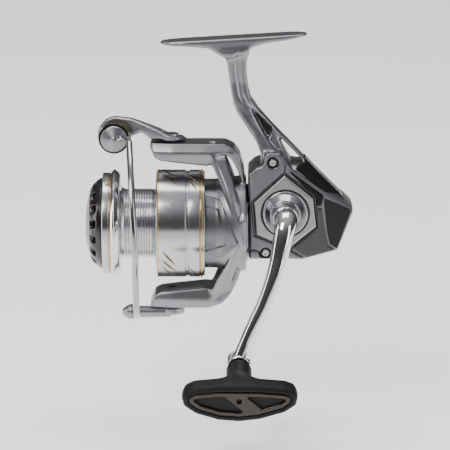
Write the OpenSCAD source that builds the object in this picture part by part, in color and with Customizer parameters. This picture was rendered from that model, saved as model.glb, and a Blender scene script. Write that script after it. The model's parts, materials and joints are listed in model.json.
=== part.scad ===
// Spinning fishing reel, built as an assembly. The model is drawn about the spool axis (X, with the
// spool towards -X and the crank on the -Y side) and then moved so that the centre of the foot's
// seat is the origin.

/* [Foot and stem] */
// Height of the foot's seat above the spool axis
seat_height = 94.6; // [92:0.1:98]
// Distance from the crank axis forward to the centre of the foot
seat_ahead = 25.5; // [24:0.1:27]
// Slope of the foot, front end lower, in degrees
foot_tilt = 3.4; // [2:0.1:5]
// Length of the foot
foot_length = 73; // [68:0.5:76]
// Width of the foot at its middle
foot_width = 14.5; // [13:0.5:16]
// Width of the stem under the foot
stem_width = 13; // [11:0.5:14]

/* [Body] */
// Height of the crank axis above the spool axis
crank_rise = 8.9; // [8.7:0.1:9.1]
// Distance from the middle plane to the handle-side cover's outer face
near_half = 17; // [16.5:0.1:18]
// Distance from the middle plane to the far side of the housing
far_half = 15; // [14.5:0.1:16]
// Thickness of the side cover
cover_thick = 2.4; // [2:0.1:2.8]
// Radius of the housing's round nose inside the rotor
nose_r = 19.5; // [19.3:0.1:19.6]

/* [Gear train] */
// Teeth on the drive gear
drive_teeth = 44; // [44:1:44]
// Teeth on the pinion
pinion_teeth = 10; // [10:1:10]
// Pitch radius of the pinion
pinion_pitch_r = 3.41; // [3.4:0.01:3.42]
// Outer radius of the drive gear
drive_r = 18.6; // [18.4:0.1:18.6]
// Radius of the main shaft
shaft_r = 2; // [1.9:0.05:2.05]
// Radius of the drive shaft
drive_shaft_r = 4; // [3.8:0.1:4]

/* [Rotor and bail] */
// Outer radius of the rotor cup
cup_r = 22.3; // [22:0.1:22.6]
// Distance from the spool axis to the outside of the rotor arms
arm_r = 42; // [41.5:0.1:42.4]
// Width of a rotor arm
arm_width = 22; // [20:0.5:24]
// Distance from the crank axis forward to the bail's pivot axis
bail_pivot_ahead = 56.2; // [55.8:0.1:56.6]
// Radius of the bail wire's sweep around the spool
bail_sweep_r = 46.5; // [46:0.1:47]
// Radius of the bail wire
wire_r = 1.6; // [1.4:0.05:1.7]

/* [Spool] */
// Radius of the spool's front lip
lip_r = 27.1; // [26.5:0.1:27.3]
// Radius of the spool's skirt
skirt_r = 26.8; // [26.5:0.1:27]
// Radius of the line arbor
arbor_r = 17.2; // [16:0.1:18]
// Radius of the drag knob at its back
drag_knob_r = 22.9; // [22:0.1:23.2]

/* [Handle] */
// Radius of the crank arm
crank_arm_r = 3.8; // [3.5:0.1:4]
// Length of the grip's cross bar
grip_length = 56.5; // [50:0.5:60]
// Outward tilt of the knob's axis, in degrees
knob_tilt = 12; // [10:1:14]

/* [Hidden] */
$fn = 96;

// Colours
SILVER = [0.74, 0.75, 0.77];
GREY = [0.45, 0.45, 0.46];
CHARCOAL = [0.17, 0.17, 0.18];
BLACK = [0.05, 0.05, 0.05];
CHROME = [0.86, 0.87, 0.89];
STEEL = [0.66, 0.67, 0.69];
GOLD = [0.78, 0.60, 0.30];
BRASS = [0.76, 0.62, 0.34];
BRONZE = [0.36, 0.30, 0.27];
FELT = [0.30, 0.28, 0.26];

// Clearances
run_gap = 0.05;   // radial, a shaft turning in a hole

// Drive gear and pinion: a spur pinion on the shaft axis runs against face teeth that are straight
// lines, tangent to a circle as large as the offset between the two axes.
tooth_high = 0.45;
tooth_deep = 0.6;
pinion_tip_r = pinion_pitch_r + tooth_high;
tooth_foot = 0.273;    // half widths of a pinion tooth, in parts of the pitch
tooth_crest = 0.117;
gear_inner_reach = 12.6;
gear_thick = 2.6;
gear_face_y = pinion_tip_r + 0.1;
gear_back_y = gear_face_y + gear_thick;
oscillate_teeth = 10;
oscillate_pitch_r = pinion_pitch_r;
idler_y = 0.3;
idler_z = -7.02;
worm_y = -6;
worm_z = -10;
worm_phase = 27.7;
idler_phase = 4.9;
pinion_phase = 18;

// Stations along the spool axis
front_face = -18.4;
nose_front = -31;
race_back = -24.7;
seat_back = -21.2;
bearing_r = 5.8;
race_r = 12;
cup_front = -57;
rotor_back = -19.1;
web_x = -44;
bail_x = -bail_pivot_ahead;
roller_x = -84.8;
roller_z = 44;
lip_x = -84.75;
arbor_back = -64.25;
skirt_back = -39.75;
knob_back = -90.9;
knob_tip = -99.5;

// Crank end and knob
crank_path = [
    [0, -36, 0], [0, -40.5, 0], [-3.65, -44.5, -16.9], [-6.6, -47, -27.3], [-10.65, -49, -38.1],
    [-15.25, -50.5, -47.9], [-20.75, -52, -61.1], [-23, -52, -68.1]
];
crank_end = crank_path[7];
knob_depth = 39;
grip_depth = 15;

// The whole reel is drawn about the spool axis and placed by its foot's seat.
module place() {
    translate([seat_ahead, 0, -seat_height]) children();
}

// A frame at the crank axis, with its own +Z pointing out of the handle side.
module at_crank() {
    translate([0, 0, crank_rise]) rotate([90, 0, 0]) children();
}

// A frame at the outer end of the crank arm, along the knob's own tilted axis.
module at_knob() {
    translate([crank_end[0], crank_end[1], crank_rise + crank_end[2]])
        rotate([90 + knob_tilt, 0, 0]) children();
}

// A turned piece about the spool axis, from [radius, station] points.
module turned(points) {
    rotate([0, 90, 0]) rotate_extrude() polygon(points);
}

// A plain tube about the spool axis.
module tube_x(x0, x1, outer, inner) {
    turned([[inner, x0], [outer, x0], [outer, x1], [inner, x1]]);
}

// A plain round bar or bore about the spool axis.
module rod_x(x0, x1, r) {
    translate([x0, 0, 0]) rotate([0, 90, 0]) cylinder(r = r, h = x1 - x0);
}

// A plain tube along its own +Z.
module tube_z(h, outer, inner) {
    difference() {
        cylinder(r = outer, h = h);
        translate([0, 0, -1]) cylinder(r = inner, h = h + 2);
    }
}

// A side outline, [x, z] points, made solid between two stations across the reel.
module slab(points, y0, y1) {
    translate([0, y1, 0]) rotate([90, 0, 0]) linear_extrude(y1 - y0) polygon(points);
}

// A spur gear outline with straight-sided teeth.
module spur_outline(teeth, pitch_r, phase) {
    step = 360 / teeth;
    root = pitch_r - tooth_deep;
    tip = pitch_r + tooth_high;
    pitch_arc = step * PI / 180 * pitch_r;
    union() {
        circle(r = root);
        for (i = [0 : teeth - 1])
            rotate([0, 0, i * step + phase])
                polygon([
                    [root - 0.3, -tooth_foot * pitch_arc], [tip, -tooth_crest * pitch_arc],
                    [tip, tooth_crest * pitch_arc], [root - 0.3, tooth_foot * pitch_arc]
                ]);
    }
}

// ---------------------------------------------------------------- housing and its fixed pieces

stem_side = [
    [-30.5, 86], [-29.3, 81.9], [-27.1, 68], [-25.8, 61.9], [-23.9, 57.4], [-14.1, 42.7],
    [front_face, 30], [front_face, -15.4], [1.25, -15.2], [8.4, -15.6], [18, -13], [26.4, -10.6],
    [34.2, 9.4], [25.7, 18.1], [17.4, 25.9], [1.6, 42.7], [-13, 58.6], [-16.8, 64.1],
    [-18.2, 69.7], [-19.1, 77.5], [-18.8, 83.6], [-17.4, 87], [-13, 93], [-35, 91.5]
];
stem_front = [
    [-7.4, 95], [-stem_width / 2, 84], [-6, 70], [-8, 58], [cover_thick - near_half, 40],
    [cover_thick - near_half, -17], [far_half, -17], [far_half, 32], [8, 56], [6, 70],
    [stem_width / 2, 84], [7.4, 95]
];
stem_slot = [[-17.6, 60.5], [-15.6, 59.5], [9, 33.6], [8, 31.6], [3.5, 32], [-15.8, 57]];
gear_room = [
    [-17, 27], [-9, 30], [1, 30.4], [12, 26], [19.5, 19], [30, 9], [23.5, -8.6], [17, -11.8],
    [10, -13.2], [-17, -13.2]
];

module foot() {
    half = foot_length / 2;
    translate([-seat_ahead, 0, seat_height]) rotate([0, -foot_tilt, 0]) intersection() {
        slab([
            [-half, 0], [half, 0], [half, -2.2], [20, -3.4], [12, -5], [-10, -6], [-16, -4],
            [-half, -2.4]
        ], -foot_width / 2, foot_width / 2);
        translate([0, 0, -10]) linear_extrude(20) union() {
            square([foot_length - 14, foot_width], center = true);
            for (end = [-1, 1]) translate([end * (half - 8), 0]) intersection() {
                circle(r = 8);
                square([16, foot_width], center = true);
            }
        }
    }
}

// [x, z, depth of the boss inside the case]
cover_screw_places = [[-6.2, 34.2, -9.4], [-9.6, -11.5, -9.4], [24.5, 3, far_half]];
screw_shank_start = 11;
boss_r = 8.2;
rear_wall = 16;      // station of the inner wall behind the oscillating drive
rear_wall_thick = 2.5;
guard_bed = [[6.5, 34.6], [17.6, 24.6], [26, 16.9], [34.4, 8.6], [40, 12], [12, 42], [7.4, 40]];

module housing() {
    color(SILVER) difference() {
        union() {
            foot();
            intersection() {
                slab(stem_side, -20, 20);
                translate([-60, 0, 0]) rotate([90, 0, 90]) linear_extrude(120) polygon(stem_front);
            }
            turned([
                [0, nose_front], [nose_r, nose_front], [nose_r, front_face + 0.4],
                [0, front_face + 0.4]
            ]);
        }
        slab(stem_slot, -30, 30);
        difference() {
            union() {
                slab(gear_room, -30, far_half - 2.5);
                turned([[0, seat_back], [18.2, seat_back], [18.2, -16], [0, -16]]);
            }
            // the boss of the far drive bearing and the rear wall that holds the rods and the worm
            at_crank() translate([0, 0, -20]) cylinder(r = boss_r, h = 12.4);
            translate([rear_wall, cover_thick - near_half, -14])
                cube([rear_wall_thick, near_half - cover_thick + far_half, 10]);
            // bosses for the three cover screws
            for (p = cover_screw_places)
                translate([p[0], p[2], p[1]]) rotate([90, 0, 0]) cylinder(r = 2.4, h = 40);
        }
        turned([[0, race_back], [bearing_r, race_back], [bearing_r, -16], [0, -16]]);
        turned([[0, nose_front - 1], [race_r, nose_front - 1], [race_r, race_back], [0, race_back]]);
        // worm and idler ends
        translate([seat_back - 2.2, worm_y, worm_z]) rotate([0, 90, 0]) cylinder(r = 1.9, h = 5);
        translate([rear_wall - 0.5, worm_y, worm_z]) rotate([0, 90, 0]) cylinder(r = 1.9, h = 2.5);
        slab(guard_bed, -guard_half, guard_half);
        translate([seat_back - 2.2, idler_y, idler_z]) rotate([0, 90, 0]) cylinder(r = 0.95, h = 5);
        translate([seat_back - 2, rod_y, rod_z]) rotate([0, 90, 0]) cylinder(r = rod_r, h = 40.8);
        at_crank() translate([0, 0, -30]) cylinder(r = 6.5, h = 30);
        for (p = cover_screw_places)
            translate([p[0], 0.5 - screw_shank_start, p[1]]) rotate([90, 0, 0])
                cylinder(r = 1.1, h = 12);
    }
}

cover_side = [
    [-17.9, 29.6], [-12, 34.2], [-9.75, 38.4], [-2.6, 38.4], [-1.15, 36.8], [2.9, 31.5], [19.15, 19.8],
    [33.3, 12], [33.4, 9], [26, -9.9], [17.95, -12.2], [8.4, -14.9], [1.25, -14.5], [-17.9, -14.7]
];

module side_cover() {
    color(SILVER) difference() {
        union() {
            slab(cover_side, -near_half, cover_thick - near_half);
            at_crank() translate([0, 0, 11]) cylinder(r = boss_r, h = 5);
        }
        at_crank() translate([0, 0, 10]) cylinder(r = 6.5, h = 5.6);
        at_crank() translate([0, 0, 10]) cylinder(r = drive_shaft_r + 0.6, h = 12);
        for (p = cover_screw_places) translate([p[0], 0, p[1]]) rotate([90, 0, 0]) {
            cylinder(r = 1.6, h = 30);
            translate([0, 0, near_half - 1.2]) cylinder(r = 2.75, h = 5);
        }
    }
}

plate_side = [[-0.45, 28.3], [13.9, 16.6], [15.6, 2.1], [2.2, -9], [-14.55, -1.8], [-15.75, 14.15]];

module engine_plate() {
    color(SILVER) difference() {
        slab(plate_side, -near_half - 1.4, -near_half);
        at_crank() translate([0, 0, near_half - 1]) cylinder(r = 9.6, h = 4);
    }
}

module cover_screw() {
    difference() {
        union() {
            translate([0, 0, near_half - 1.2]) cylinder(r = 2.6, h = 1.5);
            translate([0, 0, screw_shank_start]) cylinder(r = 1.1, h = 5);
        }
        translate([0, 0, near_half - 0.5]) cylinder(r = 1.1, h = 2, $fn = 6);
    }
}

module cover_screws() {
    color(STEEL) for (p = cover_screw_places)
        translate([p[0], 0, p[1]]) rotate([90, 0, 0]) cover_screw();
}

module side_collar() {
    color(CHROME) at_crank() rotate_extrude() polygon([
        [5.4, near_half], [9.5, near_half], [9.5, near_half + 1.4], [11.7, near_half + 1.4],
        [11.7, near_half + 2.6], [10.6, near_half + 3.4], [9.4, near_half + 3.2],
        [8.2, near_half + 5.6], [7.6, near_half + 6], [5.4, near_half + 6]
    ]);
}

guard_half = 12.5;
guard_side = [[6.5, 34.6], [17.6, 24.6], [26, 16.9], [34.4, 8.6], [34.5, 8.9], [26, 18.4],
              [17.6, 26.9], [7, 37.6]];

module rear_guard() {
    color(BLACK) slab(guard_side, -guard_half, guard_half);
}

panel_side = [[19, 16.6], [32.6, 11.8], [32.8, 10], [25.9, -9.4], [22, -6.8], [20.6, -0.6], [19.1, 13]];

module rear_panel() {
    color(CHARCOAL) difference() {
        slab(panel_side, -near_half - 0.8, -near_half);
        translate([cover_screw_places[2][0], 0, cover_screw_places[2][1]])
            rotate([90, 0, 0]) cylinder(r = 2.9, h = 30);
    }
}

trim_side = [[16, 11.6], [18.2, 11.6], [18.6, 9], [20.1, -0.8], [21.5, -7], [25, -9.6],
             [17.6, -11.9], [10.8, -13.8], [3.6, -9], [16.4, 2]];

module trim_panel() {
    color(GREY) slab(trim_side, -near_half - 0.8, -near_half);
}

module far_cap() {
    color(CHROME) at_crank() translate([0, 0, -far_half]) difference() {
        union() {
            translate([0, 0, -0.8]) cylinder(r = 9, h = 0.8);
            translate([0, 0, -2.2]) cylinder(r = 7.2, h = 1.5);
            cylinder(r = 6.45, h = 2.2);
        }
        translate([0, 0, -3]) cylinder(r = 2.2, h = 1.6, $fn = 6);
    }
}

module bearing(inner, outer, width) {
    shoulder = (outer - inner) * 0.32;
    rotate_extrude() polygon([
        [inner, 0], [inner + shoulder, 0], [inner + shoulder, 0.25], [outer - shoulder, 0.25],
        [outer - shoulder, 0], [outer, 0], [outer, width], [outer - shoulder, width],
        [outer - shoulder, width - 0.25], [inner + shoulder, width - 0.25], [inner + shoulder, width],
        [inner, width]
    ]);
}

module drive_bearings() {
    color(STEEL) at_crank() {
        translate([0, 0, 11.6]) bearing(drive_shaft_r + run_gap, 6.5, 4);
        translate([0, 0, -12.4]) bearing(drive_shaft_r + run_gap, 6.5, 4);
    }
}

module pinion_bearings() {
    color(STEEL) {
        translate([race_back, 0, 0]) rotate([0, 90, 0]) bearing(4 + run_gap, bearing_r, 3.4);
        translate([nose_front - retainer_thick, 0, 0]) rotate([0, 90, 0])
            bearing(4 + run_gap, bearing_r, retainer_thick);
    }
}

roller_count = 8;
roller_ring_r = 7.9;
clutch_roller_r = 1.05;

module clutch_race() {
    color(STEEL) tube_x(nose_front, race_back, race_r, 9);
}

module clutch_rollers() {
    color(CHROME) for (i = [0 : roller_count - 1]) rotate([i * 360 / roller_count, 0, 0])
        translate([nose_front + 0.6, 0, roller_ring_r]) rotate([0, 90, 0])
            cylinder(r = clutch_roller_r, h = 5);
}

retainer_screw_ring = 14.2;
retainer_screw_count = 3;
retainer_turn = 30;
retainer_thick = 1.5;

module clutch_retainer() {
    color(STEEL) difference() {
        tube_x(nose_front - retainer_thick, nose_front, 16.6, bearing_r);
        for (i = [0 : retainer_screw_count - 1])
            rotate([i * 360 / retainer_screw_count + retainer_turn, 0, 0])
                translate([nose_front - 3, 0, retainer_screw_ring])
                    rotate([0, 90, 0]) cylinder(r = 1.05, h = 5);
    }
}

module retainer_screws() {
    color(CHROME) for (i = [0 : retainer_screw_count - 1])
        rotate([i * 360 / retainer_screw_count + retainer_turn, 0, 0])
            translate([nose_front - retainer_thick, 0, retainer_screw_ring]) rotate([0, 90, 0]) {
                translate([0, 0, -0.8]) cylinder(r = 1.7, h = 0.8);
                cylinder(r = 1, h = retainer_thick);
            }
}

rod_y = -12.2;
rod_z = -6.6;
rod_r = 1.1;

module guide_rod() {
    color(STEEL) translate([seat_back - 2, rod_y, rod_z]) rotate([0, 90, 0]) cylinder(r = rod_r, h = 40.4);
}

module worm_bushes() {
    color(BRASS) for (x = [seat_back - 2.1, rear_wall - 0.1])
        translate([x, worm_y, worm_z]) rotate([0, 90, 0]) tube_z(2, 1.9, 1.2 + run_gap);
}

// ---------------------------------------------------------------- crank, drive gear and knob

module drive_gear() {
    color(BRASS) {
        at_crank() difference() {
            union() {
                translate([0, 0, -gear_back_y]) tube_z(gear_back_y - gear_face_y, drive_r, 12);
                translate([0, 0, -gear_back_y]) tube_z(1.2, 13, 3.9);
                translate([0, 0, -12.3]) cylinder(r = drive_shaft_r, h = 27.8);
                translate([0, 0, -gear_back_y - 1]) cylinder(r = 5.6, h = 1.4);
                for (i = [0 : drive_teeth - 1])
                    rotate([0, 0, (i + 0.5) * 360 / drive_teeth]) face_tooth();
            }
            translate([0, 0, -20]) cylinder(r = 2.55, h = 50);
        }
    }
}

// One straight face tooth: at rest it lies along the pinion, below the crank axis.
module face_tooth() {
    intersection() {
        translate([-drive_r, -crank_rise, -gear_face_y]) rotate([0, 90, 0])
            linear_extrude(drive_r - gear_inner_reach) polygon([
                [0.3, -0.6], [0.3, 0.6], [-0.95, 0.15], [-0.95, -0.15]
            ]);
        translate([0, 0, -gear_face_y - 1]) cylinder(r = drive_r - 0.15, h = 3);
    }
}

module crank_hub() {
    color(CHROME) at_crank() {
        translate([0, 0, -10]) cylinder(r = 2.5, h = 28);
        rotate_extrude() polygon([
            [0, near_half + 0.4], [4.8, near_half + 0.4], [4.8, near_half + 6.4],
            [7, near_half + 6.7], [7, near_half + 9.4], [5.9, near_half + 14.6], [0, near_half + 14.6]
        ]);
    }
}

module crank_arm() {
    color(CHROME) translate([0, 0, crank_rise]) difference() {
        union() {
            translate([0, -near_half - 14.6, 0]) rotate([90, 0, 0]) cylinder(r = 5.9, h = 6);
            for (i = [1 : len(crank_path) - 2]) hull() {
                translate(crank_path[i]) sphere(r = crank_arm_r, $fn = 28);
                translate(crank_path[i + 1]) sphere(r = crank_arm_r, $fn = 28);
            }
            translate(crank_end) rotate([90 + knob_tilt, 0, 0])
                translate([0, 0, -4.4]) cylinder(r = 6.2, h = 8);
        }
        translate(crank_end) rotate([90 + knob_tilt, 0, 0])
            translate([0, 0, -6]) cylinder(r = 2.6, h = 12);
    }
}

module knob_pin() {
    color(STEEL) at_knob() {
        translate([0, 0, -5]) cylinder(r = 2.6, h = 9);
        translate([0, 0, 4]) cylinder(r = 3.4, h = 0.8);
        translate([0, 0, 4.8]) tube_z(26, 2, 1);
    }
}

module knob_bushes() {
    color(STEEL) at_knob() for (h = [6.4, 26])
        translate([0, 0, h]) bearing(2 + run_gap, 3.6, 3);
}

// The cross bar's outline seen from its outer end: straight towards the crank, rounded away from it.
module grip_outline(inset) {
    hull() {
        translate([-grip_length / 2 + 8, -1]) circle(r = 8 - inset);
        translate([grip_length / 2 - 7, 0.5]) circle(r = 7 - inset);
        translate([0, -1.8]) circle(r = 10 - inset);
    }
}

module knob_grip() {
    color(BLACK) at_knob() difference() {
        union() {
            translate([0, 0, 5.6]) cylinder(r = 6.4, h = 22);
            translate([0, 0, knob_depth - grip_depth]) linear_extrude(grip_depth - 1) grip_outline(0);
        }
        translate([0, 0, 5]) cylinder(r = 2.6, h = knob_depth - 8);
        translate([0, 0, 6.4]) cylinder(r = 3.6, h = 23);
        translate([0, 0, 30]) cylinder(r = 2.9, h = 10);
        translate([0, 0, knob_depth - 1.8]) linear_extrude(3) grip_outline(3);
    }
}

module knob_inlay() {
    color(BRONZE) at_knob() difference() {
        translate([0, 0, knob_depth - 1.8]) linear_extrude(1.4) grip_outline(3.1);
        translate([0, 0, knob_depth - 3]) linear_extrude(4) difference() {
            grip_outline(5.4);
            rotate([0, 0, -32]) square([7, 40], center = true);
        }
        translate([0, 0, knob_depth - 3]) cylinder(r = 1.2, h = 4);
    }
}

module knob_screw() {
    color(STEEL) at_knob() {
        translate([0, 0, 26]) cylinder(r = 0.95, h = 5);
        translate([0, 0, 30.9]) cylinder(r = 2.8, h = 1.4);
    }
}

// ---------------------------------------------------------------- rotor and what turns with it

module pinion() {
    color(BRASS) difference() {
        union() {
            translate([-18.9, 0, 0]) rotate([0, 90, 0])
                linear_extrude(6.4) spur_outline(pinion_teeth, pinion_pitch_r, pinion_phase);
            turned([[0, -49.8], [3.6, -49.8], [4, -49.4], [4, -20.6], [4.6, -20.6], [4.6, -19.8],
                    [2.9, -19.8], [2.9, -18.9], [0, -18.9]]);
        }
        translate([-60, 0, 0]) rotate([0, 90, 0]) cylinder(r = shaft_r + run_gap, h = 60);
    }
}

module clutch_sleeve() {
    color(STEEL) tube_x(nose_front + 0.4, race_back - 0.4, 6.8, 4);
}

arm_side = [
    [-67.2, 39.4], [-66.4, 41.4], [-64.6, 42], [-29.1, 42], [-24.4, 39.4], [-21.7, 35.3],
    [-20, 29.2], [rotor_back, 17], [rotor_back, 0], [-34, 0], [-34, 22], [-38, 30.6], [-61.9, 33.4],
    [-65, 34.6]
];
arm_window = [[-31, 36.6], [-27, 34.4], [-23.8, 28], [-22.4, 20], [-22.2, 11], [-25.5, 18], [-30, 27]];

module rotor() {
    color(SILVER) difference() {
        union() {
            tube_x(cup_front, -33.5, cup_r, 20.2);
            turned([[20.2, -34], [cup_r, -34], [24, -30], [24.4, rotor_back], [20.6, rotor_back],
                    [20.2, -26]]);
            turned([[4.05, web_x - 1.5], [21, web_x - 1.5], [21, web_x + 1.5], [9, web_x + 1.5],
                    [8, -34.4], [4.05, -34.4]]);
            for (side = [0, 1]) mirror([0, 0, side]) intersection() {
                slab(arm_side, -arm_width / 2, arm_width / 2);
                translate([-80, 0, 0]) rotate([0, 90, 0]) cylinder(r = arm_r, h = 80);
            }
        }
        for (side = [0, 1]) mirror([0, 0, side]) {
            slab(arm_window, -30, 30);
            translate([bail_x, 0, 30]) cylinder(r = 2.2, h = 20);
            // channel for the spring and trip lever, and the bed of the cover that closes it
            translate([-59.5, -3.4, 30]) cube([19, 6.8, 6.6]);
            slab(arm_cover_bed, -arm_cover_half, arm_cover_half);
        }
        // clear the inside of the cup behind and before the web
        difference() {
            rod_x(cup_front - 12, rotor_back + 1, 20.2);
            turned([[0, web_x - 1.5], [21, web_x - 1.5], [21, web_x + 1.5], [9, web_x + 1.5],
                    [8, -34.4], [0, -34.4]]);
        }
        rod_x(-60, -30, 4.05);
    }
}

module rotor_nut() {
    color(BRASS) difference() {
        translate([web_x - 4.7, 0, 0]) rotate([0, 90, 0]) cylinder(r = 7.4, h = 3.2, $fn = 6);
        translate([-60, 0, 0]) rotate([0, 90, 0]) cylinder(r = 4, h = 30);
    }
}

module nut_lock() {
    color(STEEL) difference() {
        union() {
            translate([web_x - 2.7, -2.6, 7.5]) cube([1.2, 5.2, 7.4]);
            translate([web_x - 3.6, 0, 12]) rotate([0, 90, 0]) cylinder(r = 1.7, h = 0.9);
        }
        translate([web_x - 4, 0, 12]) rotate([0, 90, 0]) cylinder(r = 0.8, h = 1, $fn = 6);
    }
}

// A small plain plate on the handle side of the rotor's cup.
module rotor_plate() {
    color(SILVER) difference() {
        intersection() {
            translate([-40, -26.6, -13]) cube([18, 8, 22]);
            turned([[24.5, -33.5], [25.6, -33], [25.6, -23], [24.6, -22]]);
            slab([[-38.8, 9], [-32.7, 6.3], [-29, -10.4], [-38.8, -14]], -30, 0);
        }
    }
}

arm_cover_half = 5.6;
arm_cover_side = [[-60.5, 33.24], [-40, 30.83], [-40, 31.63], [-60.5, 34.04]];
arm_cover_bed = [[-60.5, 28], [-40, 28], [-40, 31.63], [-60.5, 34.04]];

// Inner cover of a rotor arm: a thin plate that closes the channel, flush with the arm.
module arm_cover() {
    difference() {
        slab(arm_cover_side, -arm_cover_half, arm_cover_half);
        translate([bail_x, 0, 28]) cylinder(r = 2.2, h = 8);
    }
}

module bail_arm_cover() {
    color(CHARCOAL) arm_cover();
}

module lower_arm_cover() {
    color(CHARCOAL) mirror([0, 0, 1]) arm_cover();
}

head_r = 3.6;
head_seat = 44.4;    // how far from the spool axis the heads of the pivot screws start

module bail_pivot_screws() {
    color(STEEL) for (side = [0, 1]) mirror([0, 0, side]) translate([bail_x, 0, 0]) {
        translate([0, 0, 33.6]) cylinder(r = 2.15, h = head_seat - 33.4);
        translate([0, 0, head_seat + 0.2]) difference() {
            cylinder(r = head_r, h = 1.2);
            translate([0, 0, 0.5]) cylinder(r = 1.4, h = 1, $fn = 6);
        }
    }
}

spring_turns = 12;
spring_pitch = 0.5;

module bail_spring() {
    color(STEEL) for (i = [0 : spring_turns - 1]) translate([-46.6 + i * spring_pitch, 0, 34.8]) rotate([0, 90, 0])
        rotate_extrude() translate([1.25, 0]) circle(r = 0.3, $fn = 24);
}

module trip_lever() {
    color(STEEL) difference() {
        union() {
            translate([bail_x, 0, 34]) cylinder(r = 3, h = 1.6);
            translate([bail_x, -1, 34]) cube([8, 2, 1.6]);
        }
        translate([bail_x, 0, 30]) cylinder(r = 2.15 + run_gap, h = 8);
    }
}

// ---------------------------------------------------------------- bail

lever_side = [
    [-88.6, 51.4], [-84.6, 52.6], [-76, 52.2], [-67.2, 50], [-61, 47.6], [-56, 46.2], [-50.6, 45.4],
    [-50.6, 42.6], [-64, 42.6], [-70, 46], [-75.5, 46.6], [-80, 44]
];

module bail_lever() {
    color(SILVER) difference() {
        union() {
            intersection() {
                slab(lever_side, -5.5, 5.5);
                translate([-72, 1.2, 40]) linear_extrude(20) polygon([
                    [-20, 0.9], [-6.6, 0.9], [6, -6.7], [24, -6.7], [24, 4.3], [6, 4.3], [-8, 4], [-20, 4]
                ]);
            }
            translate([bail_x, 0, 42.6]) cylinder(r = 6.2, h = 3.4);
            translate([roller_x, 5.2, roller_z]) rotate([90, 0, 0]) cylinder(r = 8.5, h = 3.2);
        }
        translate([bail_x, 0, 40]) cylinder(r = 2.2, h = 20);
        translate([bail_x, 0, head_seat]) cylinder(r = head_r + 0.3, h = 5);
        translate([roller_x, 10, roller_z]) rotate([90, 0, 0]) cylinder(r = 1.5, h = 20);
    }
}

module roller_cap() {
    color(SILVER) translate([roller_x, -5.2, roller_z]) rotate([90, 0, 0]) difference() {
        cylinder(r1 = 6.6, r2 = 3.4, h = 4.2);
        translate([0, 0, -1]) cylinder(r = 1.5, h = 3.4);
    }
}

module roller_screw() {
    color(STEEL) translate([roller_x, 6.2, roller_z]) rotate([90, 0, 0]) difference() {
        union() {
            cylinder(r = 2.8, h = 1);
            cylinder(r = 1.45, h = 13.6);
        }
        translate([0, 0, -1]) cylinder(r = 1.1, h = 1.6, $fn = 6);
    }
}

wire_start = 14;
wire_end = 174;
wire_joint_r = wire_r + 0.2;

module bail_wire() {
    color(CHROME) {
        translate([-74.6, 0, 0]) rotate([0, 90, 0]) rotate([0, 0, 180 + wire_start])
            rotate_extrude(angle = wire_end - wire_start) translate([bail_sweep_r, 0]) circle(r = wire_r);
        wire_run(wire_point(wire_start), [roller_x + 3.2, -9.2, roller_z + 1]);
        translate(wire_point(wire_start)) sphere(r = wire_joint_r);
    }
}

// A point of the wire's round sweep, at an angle from the top towards the handle side.
function wire_point(angle) =
    [-74.6, -bail_sweep_r * sin(angle), bail_sweep_r * cos(angle)];

module wire_run(from, to) {
    run = to - from;
    long = norm(run);
    translate(from) rotate([0, acos(run[2] / long), atan2(run[1], run[0])])
        cylinder(r = wire_r - 0.1, h = long);
}

module bail_holder() {
    color(SILVER) difference() {
        union() {
            translate([bail_x, 0, -46]) cylinder(r = 6.2, h = 3.4);
            translate([-78.5, -2.6, -45]) rotate([0, 90, 0]) cylinder(r = 2.9, h = 22);
            translate([-81.5, -2.6, -45]) rotate([0, 90, 0]) cylinder(r1 = 1.6, r2 = 2.9, h = 3);
        }
        translate([bail_x, 0, -50]) cylinder(r = 2.2, h = 20);
        translate([bail_x, 0, -head_seat - 5]) cylinder(r = head_r + 0.3, h = 5);
    }
}

module line_roller() {
    color(GOLD) translate([roller_x, 1.8, roller_z]) rotate([90, 0, 0]) rotate_extrude() polygon([
        [3.05, 0], [5.6, 0], [5.2, 1], [4.4, 3], [4.4, 3.8], [5.2, 5.8], [5.6, 6.8], [3.05, 6.8]
    ]);
}

module roller_bearing() {
    color(STEEL) translate([roller_x, 1.2, roller_z]) rotate([90, 0, 0]) bearing(1.5, 3, 5.6);
}

// ---------------------------------------------------------------- main shaft and oscillation

module main_shaft() {
    color(STEEL) rod_x(-93, 17, shaft_r);
}

module crosshead() {
    color(BRASS) difference() {
        union() {
            translate([6, -14.1, -8.4]) cube([6.4, 16.6, 3.6]);
            translate([6, -4, -8.4]) cube([6.4, 6.5, 11.6]);
        }
        rotate([0, 90, 0]) cylinder(r = shaft_r, h = 20);
        translate([0, rod_y, rod_z]) rotate([0, 90, 0]) cylinder(r = rod_r + run_gap, h = 20);
        translate([0, worm_y, worm_z]) rotate([0, 90, 0]) cylinder(r = 3.1, h = 20);
        translate([9.2, worm_y, worm_z]) cylinder(r = 1.4, h = 10);
        translate([9.2, -1.9, 0]) rotate([90, 0, 0]) cylinder(r = 0.95, h = 3);
    }
}

module crosshead_pawl() {
    color(STEEL) translate([9.2, worm_y, worm_z + 2.8]) cylinder(r = 1.4, h = 2.4);
}

module crosshead_screw() {
    color(STEEL) translate([9.2, -2, 0]) rotate([90, 0, 0]) {
        cylinder(r = 0.95, h = 2);
        translate([0, 0, 2]) cylinder(r = 1.9, h = 0.9);
    }
}

module spool_bearings() {
    color(STEEL) for (x = [-82, -62])
        translate([x, 0, 0]) rotate([0, 90, 0]) bearing(shaft_r, 4.4, 3);
}

click_teeth = 24;

module click_wheel() {
    color(STEEL) translate([-57.8, 0, 0]) rotate([0, 90, 0]) linear_extrude(1.4) difference() {
        union() {
            circle(r = 6);
            for (i = [0 : click_teeth - 1]) rotate([0, 0, i * 360 / click_teeth])
                polygon([[5.8, -0.5], [6.6, 0], [5.8, 0.5]]);
        }
        circle(r = shaft_r);
    }
}

// ---------------------------------------------------------------- spool and drag

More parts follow.
